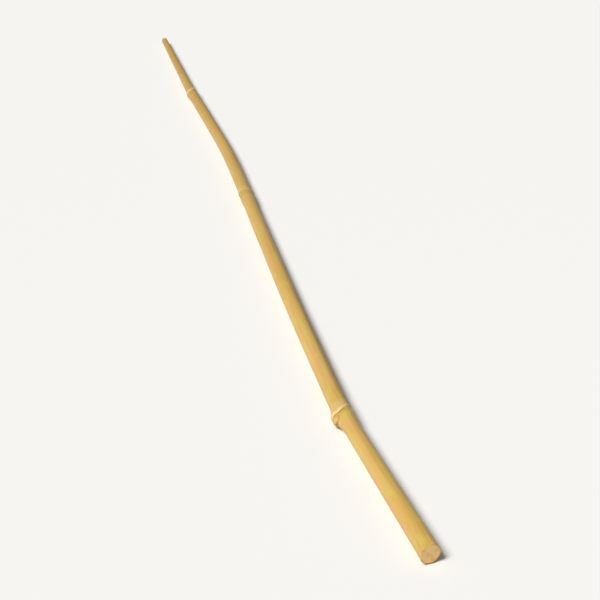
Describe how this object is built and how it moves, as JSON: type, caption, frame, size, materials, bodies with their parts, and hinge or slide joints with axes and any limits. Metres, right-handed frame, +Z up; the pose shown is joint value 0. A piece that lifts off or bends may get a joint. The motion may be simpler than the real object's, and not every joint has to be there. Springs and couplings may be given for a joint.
{
  "type": "bamboo cane",
  "caption": "Straight garden cane of dried bamboo with ringed nodes, sawn off at both ends and lying on its side.",
  "frame": {"origin": "on the surface that the cane lies on, under the middle of its bounding box", "axes": "+X along the cane from its thin end to its thick end, +Z up, +Y to the left when looking along +X"},
  "size_m": [1.203, 0.0264, 0.0123],
  "materials": {
    "bamboo_skin": "dried bamboo skin, satin",
    "sawn_bamboo": "sawn bamboo end, matt"
  },
  "bodies": {
    "root": {"bamboo_cane": "bamboo_skin"}
  },
  "joints": []
}
